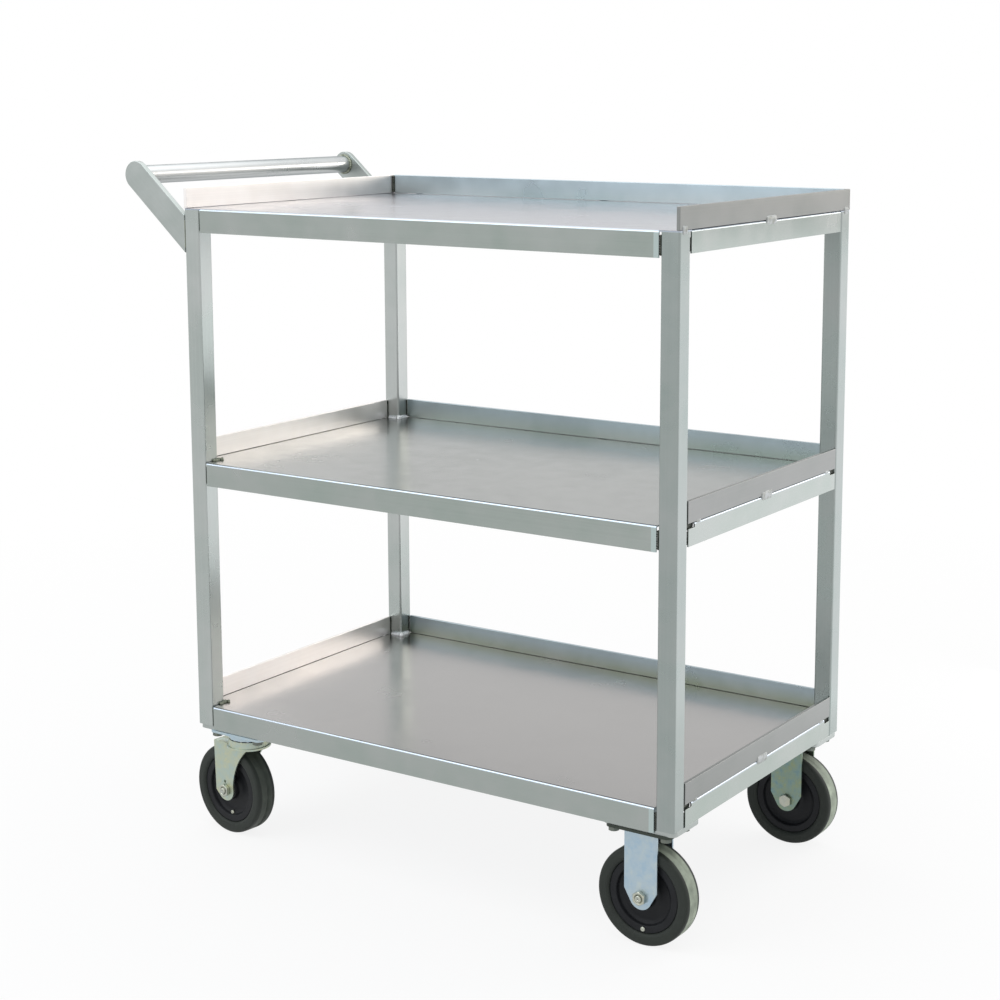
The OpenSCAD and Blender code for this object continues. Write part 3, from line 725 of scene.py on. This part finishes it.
for side in ("front", "back"):
    dress(f"swivel_{side}_plate", blue_zinc, plate_edge)
    dress(f"swivel_{side}_kingpin", bolt_finish, kingpin_edge)
    dress(f"swivel_{side}_balls", ball_finish)
    pressed(f"swivel_{side}_fork", f"swivel_{side}", olive_zinc, True)
    pressed(f"rigid_{side}_fork", "cart", rigid_zinc[side], False)

# ---- Wheels ----
# Each wheel has a core of moulded black plastic with a plain web, a hub and a rim, and a solid tyre of
# dark grey rubber bonded round it. The tread is paler where it has run on the floor, most of all on
# the rigid casters; that pale band is partly dust and wear and partly a painted sheen of the light
# from the back right. One small bright rivet in each core stands in for a glint low on the core's rim.


def moulded_black():
    """Black moulded plastic: satin, with a very fine grain and a trace of dust."""
    material, tree, skin = finish("black_core", (0.018, 0.019, 0.021), 0.0, 0.5)
    skin.inputs["Specular IOR Level"].default_value = 0.2
    here = node(tree, "ShaderNodeTexCoord").outputs["Object"]
    dust = spread(tree, noise(tree, here, 45.0, 4.0), 0.42, 0.75, 0.0, 0.45)
    colour = blend(tree, dust, (0.010, 0.011, 0.013), (0.022, 0.024, 0.027))
    tree.links.new(colour, skin.inputs["Base Color"])
    fine_relief(tree, skin, noise(tree, here, 1100.0, 2.0), 0.25, 0.0003)
    return material


def tyre_rubber():
    """Dark grey-green rubber; a point attribute is 1 on the tread, which is paler: partly dust and wear,
    partly a painted sheen.
    """
    material, tree, skin = finish("grey_rubber", (0.06, 0.066, 0.058), 0.0, 0.55)
    skin.inputs["Specular IOR Level"].default_value = 0.25
    here = node(tree, "ShaderNodeTexCoord").outputs["Object"]
    worn = node(tree, "ShaderNodeAttribute", attribute_name="worn").outputs["Fac"]
    patches = spread(tree, noise(tree, here, 60.0, 4.0), 0.3, 0.7, 0.55, 1.0)
    side = blend(tree, patches, (0.014, 0.017, 0.017), (0.030, 0.036, 0.030))
    tread = blend(tree, patches, (0.30, 0.36, 0.28), (0.44, 0.50, 0.40))
    share = work_out(tree, "MULTIPLY", worn, patches)
    tree.links.new(blend(tree, share, side, tread), skin.inputs["Base Color"])
    tree.links.new(spread(tree, patches, 0.55, 1.0, 0.5, 0.62), skin.inputs["Roughness"])
    fine_relief(tree, skin, noise(tree, here, 800.0, 3.0), 0.3, 0.0003)
    return material


def turned_tree():
    """Sweeps an outline in X, the radius, and Y, the length, round the Z axis."""
    tree, given = new_tree("Turned part", Sides="Int", Centre="Float", Finish="Material")
    path = node(tree, "GeometryNodeCurvePrimitiveCircle",
                {"Resolution": given["Sides"], "Radius": given["Centre"]}).outputs["Curve"]
    level = node(tree, "GeometryNodeSetCurveNormal", {"Curve": path}, mode="Z_UP").outputs["Curve"]
    outline = node(tree, "GeometryNodeMeshToCurve", {"Mesh": given["Geometry"]}).outputs["Curve"]
    swept = node(tree, "GeometryNodeCurveToMesh",
                 {"Curve": level, "Profile Curve": outline}).outputs["Mesh"]
    smooth = node(tree, "GeometryNodeSetShadeSmooth", {"Geometry": swept}).outputs["Geometry"]
    return hand_over(tree, smooth, given["Finish"])


turning = turned_tree()
axis_gap = 0.00005
tip_radius = axis_gap * 4


def rounded(corners, radius, steps=4):
    """The outline with each corner turned into a short arc."""
    outline = []
    for i, corner in enumerate(corners):
        before, after = Vector(corners[i - 1]), Vector(corners[(i + 1) % len(corners)])
        corner = Vector(corner)
        cut = min(radius, (before - corner).length * 0.45, (after - corner).length * 0.45)
        start = corner + (before - corner).normalized() * cut
        end = corner + (after - corner).normalized() * cut
        for step in range(steps + 1):
            s = step / steps
            outline.append(tuple(start * (1 - s) ** 2 + corner * 2 * s * (1 - s) + end * s * s))
    return outline


def turned(name, outline, material, sides=96):
    """A round piece on the Z axis from its outline, as (radius, length) points."""
    mesh = bpy.data.meshes.new(name)
    mesh.from_pydata([(radius - axis_gap, -along, 0) for radius, along in reversed(outline)],
                     [(i, (i + 1) % len(outline)) for i in range(len(outline))], [])
    return run_tree(name, mesh, turning, Sides=sides, Centre=axis_gap, Finish=material)


rolls = {joint["child"]: joint for joint in frame["joints"] if joint["name"].startswith("wheel")}
tyre_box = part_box("rigid_front_tyre")
tyre_radius = (tyre_box[1].z - tyre_box[0].z) / 2
tyre_half = (tyre_box[1].y - tyre_box[0].y) / 2
core_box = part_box("rigid_front_core")
core_radius = (core_box[1].z - core_box[0].z) / 2
hub_half = (core_box[1].y - core_box[0].y) / 2
sleeve_radius = 0.00715
# A small bright rivet low on each core, put there to stand in for a glint seen on the core's rim.
glint_rivet_outline = [(tip_radius, 0.0), (0.0033, 0.0), (0.0033, 0.0010), (0.0024, 0.0020), (tip_radius, 0.0024)]
glint_rivet_places = {"swivel": (0.0365, 0.0076), "rigid": (0.0430, 0.0126)}
# How strongly each kind of caster shows the pale tread band: partly wear, partly a painted sheen.
tread_wear_and_sheen = {"swivel": 0.12, "rigid": 1.0}
tread_depth = 0.002
tread_half = 0.0100
tread_fade = 0.0012


def both_sides(half):
    """An outline whose upper half is given, with its mirror image below."""
    return [(radius, -along) for radius, along in half] + list(reversed(half))


core_finish = moulded_black()
rubber_finish = tyre_rubber()
core_outline = rounded(both_sides([
    (sleeve_radius, hub_half), (0.0125, hub_half), (0.0150, hub_half - 0.0016), (0.0158, 0.0082),
    (0.0200, 0.0062), (0.0330, 0.0058), (0.0372, 0.0080), (0.0388, 0.0128),
    (core_radius - 0.0012, 0.0130), (core_radius, 0.0122),
]), 0.0014)
tyre_outline = rounded(both_sides([
    (core_radius, 0.0130), (core_radius + 0.0018, 0.0150), (core_radius + 0.0040, tyre_half),
    (tyre_radius - 0.0034, tyre_half), (tyre_radius - 0.0009, tyre_half - 0.0012),
    (tyre_radius - 0.0001, tyre_half - 0.0040), (tyre_radius, 0.0098), (tyre_radius, 0.0088),
    (tyre_radius, 0.0),
]), 0.0018)


def at_wheel(piece, joint):
    """Moves a piece made on the Z axis to a wheel's axle, in its mesh."""
    axis = Vector(joint["axis"]).normalized()
    if axis.y < 0:
        axis = -axis
    outwards = -1 if joint["pos_m"][1] < 0 else 1
    turn = (axis * outwards).to_track_quat("Z", "X").to_matrix().to_4x4()
    piece.data.transform(Matrix.Translation(Vector(joint["pos_m"])) @ turn)
    return piece


for body, joint in rolls.items():
    caster = body.replace("wheel_", "")
    kind = caster.split("_")[0]
    core = at_wheel(turned(f"{caster}_wheel_core", core_outline, core_finish), joint)
    tyre = turned(f"{caster}_wheel_tyre", tyre_outline, rubber_finish, 128)
    # The pale tread band: partly wear and dust, partly a painted sheen.
    worn = tyre.data.attributes.new("worn", "FLOAT", "POINT")
    for entry, point in zip(worn.data, tyre.data.vertices):
        if point.co.xy.length > tyre_radius - tread_depth:
            entry.value = tread_wear_and_sheen[kind] * min(1.0, max(0.0, (tread_half - abs(point.co.z)) / tread_fade))
    at_wheel(tyre, joint)
    # The bright rivet stands in for a glint on the core's rim.
    rivet = turned(f"{caster}_wheel_rivet", glint_rivet_outline, bolt_finish, 24)
    down, out = glint_rivet_places[kind]
    rivet.data.transform(Matrix.Translation((0, 0, out)))
    at_wheel(rivet, joint).data.transform(Matrix.Translation((0, 0, -down)))
    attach(rivet, body)
    for piece, slot, name in ((core, "core", f"{caster}_core"), (tyre, "tyre", f"{caster}_tyre")):
        piece.modifiers.new("even", "WEIGHTED_NORMAL")
        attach(piece, body)
        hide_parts(name)

# ---- Axles ----
# A zinc-plated bolt clamps each fork's sides on the steel sleeve that its wheel turns on. The nut is on
# the outer side of the trolley, and two threads of the bolt stand out of it.

nut_across = 0.0159
nut_thick = 0.0055
head_height = 0.0045
shank_radius = 0.00475
fork_half = 0.020
bolt_end = fork_half + nut_thick + 0.0015
thread_pitch = 0.0016
thread_depth = 0.0006
thread_run = (0.0050, 0.0014)
sleeve_edge = 0.0003


def axle_outline(start, end):
    """Half of a bolt from its shank to its rounded end, with a few turns of thread near the end."""
    threads = []
    along = end - thread_run[0]
    while along < end - thread_run[1]:
        threads += [(shank_radius, along), (shank_radius - thread_depth, along + thread_pitch / 2)]
        along += thread_pitch
    rounded_end = [(shank_radius - 0.0004, end - 0.0008), (shank_radius - 0.0012, end), (tip_radius, end)]
    return [(tip_radius, start), (shank_radius, start)] + threads + rounded_end


def joined(first, second):
    """Adds the second piece's faces to the first, and removes the second."""
    shape = bmesh.new()
    shape.from_mesh(first.data)
    shape.from_mesh(second.data)
    shape.to_mesh(first.data)
    shape.free()
    bpy.data.objects.remove(second)


for body, joint in rolls.items():
    caster = body.replace("wheel_", "")
    rider = "cart" if caster.startswith("rigid") else caster
    nut = hexagon(f"{caster}_nut_chamfered", nut_across, nut_thick, 2 * shank_radius, bolt_finish)
    nut.data.transform(Matrix.Translation((0, 0, fork_half)))
    bolt = turned(f"{caster}_axle_bolt", axle_outline(-fork_half, bolt_end), bolt_finish, 32)
    head = hexagon(f"{caster}_axle_head", nut_across, head_height, 0, bolt_finish, (True, False))
    head.data.transform(Matrix.Translation((0, 0, -fork_half - head_height)))
    joined(bolt, head)
    for piece, name in ((nut, f"{caster}_nut"), (bolt, f"{caster}_axle")):
        at_wheel(piece, joint)
        piece.modifiers.new("even", "WEIGHTED_NORMAL")
        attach(piece, rider)
        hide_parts(name)
    dress(f"{caster}_sleeve", bolt_finish, sleeve_edge)

# ---- Studio ----
# A pale floor that fades into a white surround, broad soft lamps above, on both sides and behind, and
# a camera a little above the top shelf, in front of the right-hand end.


def seen_share(tree):
    """1 for what the camera sees, straight, in a reflection or through glass, and 0 for light."""
    ray = node(tree, "ShaderNodeLightPath").outputs
    return work_out(tree, "MAXIMUM", work_out(tree, "MAXIMUM", ray["Is Camera Ray"], ray["Is Glossy Ray"]),
                    ray["Is Transmission Ray"])


def white_surround():
    """White where the camera or a reflection sees it, and a softer grey as light."""
    world = bpy.data.worlds.new("white_surround")
    bpy.context.scene.world = world
    world.use_nodes = True
    tree = world.node_tree
    strength = spread(tree, seen_share(tree), 0.0, 1.0, 0.5, 1.0)
    tree.links.new(strength, tree.nodes["Background"].inputs["Strength"])
    tree.nodes["Background"].inputs["Color"].default_value = (1, 1, 1, 1)


floor_half = 60.0


def pale_floor():
    """A matt pale floor, lifted to white far away and nearly so close by, where it keeps a soft shadow."""
    material, tree, skin = finish("pale_floor", (0.86, 0.86, 0.86), 0.0, 0.9)
    skin.inputs["Specular IOR Level"].default_value = 0.1
    here = node(tree, "ShaderNodeTexCoord").outputs["Object"]
    away = node(tree, "ShaderNodeVectorMath", {0: here}, operation="LENGTH").outputs["Value"]
    share = work_out(tree, "MULTIPLY", seen_share(tree), spread(tree, away, 0.6, 2.2, 0.86, 1.0))
    white = node(tree, "ShaderNodeEmission", {"Color": (1, 1, 1, 1), "Strength": 1.0}).outputs["Emission"]
    lifted = node(tree, "ShaderNodeMixShader",
                  {0: share, 1: skin.outputs["BSDF"], 2: white}).outputs["Shader"]
    tree.links.new(lifted, tree.nodes["Material Output"].inputs["Surface"])
    mesh = bpy.data.meshes.new("floor")
    corners = [(-floor_half, -floor_half, 0), (floor_half, -floor_half, 0),
               (floor_half, floor_half, 0), (-floor_half, floor_half, 0)]
    mesh.from_pydata(corners, [], [(0, 1, 2, 3)])
    mesh.materials.append(material)
    floor = bpy.data.objects.new("floor", mesh)
    bpy.context.scene.collection.objects.link(floor)


def soft_box(name, place, aim, size, glow, colour):
    """A broad rectangular lamp that doesn't show itself; glow is its brightness, where 1 is white."""
    lamp = bpy.data.lights.new(name, "AREA")
    lamp.shape = "RECTANGLE"
    lamp.size, lamp.size_y = size
    lamp.energy = glow * math.pi * size[0] * size[1]
    lamp.color = colour
    holder = bpy.data.objects.new(name, lamp)
    holder.location = place
    holder.rotation_euler = (Vector(aim) - Vector(place)).to_track_quat("-Z", "Y").to_euler()
    holder.visible_camera = False
    bpy.context.scene.collection.objects.link(holder)


def set_camera():
    """Looks down a little on the trolley from its front right, with a long lens."""
    turn, dip = math.radians(33.125), math.radians(9.097)
    lens = bpy.data.cameras.new("camera")
    lens.lens = 70.936
    lens.sensor_width = 36.0
    lens.shift_x = -0.05
    lens.shift_y = -0.10
    lens.clip_end = 100.0
    camera = bpy.data.objects.new("camera", lens)
    camera.location = (1.52555, -2.17892, 1.03999)
    camera.rotation_euler = (math.pi / 2 - dip, 0, turn)
    bpy.context.scene.collection.objects.link(camera)
    bpy.context.scene.camera = camera


bpy.context.scene.view_settings.view_transform = "Standard"
white_surround()
pale_floor()
soft_box("overhead", (0.0, 0.0, 2.7), (0, 0, 0.5), (4.0, 4.0), 1.05, (0.97, 0.99, 1.0))
soft_box("right", (0.85, 0.6, 0.40), (0.35, 0.1, 0.40), (1.5, 0.80), 0.60, (0.98, 0.96, 1.0))
soft_box("back_right", (1.30, 2.55, 1.30), (0.0, 0.0, 0.6), (1.7, 0.8), 2.6, (1.0, 0.92, 0.83))
soft_box("low_right", (0.70, 0.42, 0.03), (0.70, 0.42, 1.0), (0.4, 0.75), 0.35, (1.0, 1.0, 1.0))
soft_box("front_left", (-1.5, -2.3, 2.2), (0, 0, 0.6), (2.6, 1.8), 2.0, (0.90, 0.95, 1.0))
soft_box("back_left", (-3.0, 1.5, 1.0), (0, 0, 0.5), (1.6, 1.4), 0.9, (1.0, 0.96, 0.90))
set_camera()
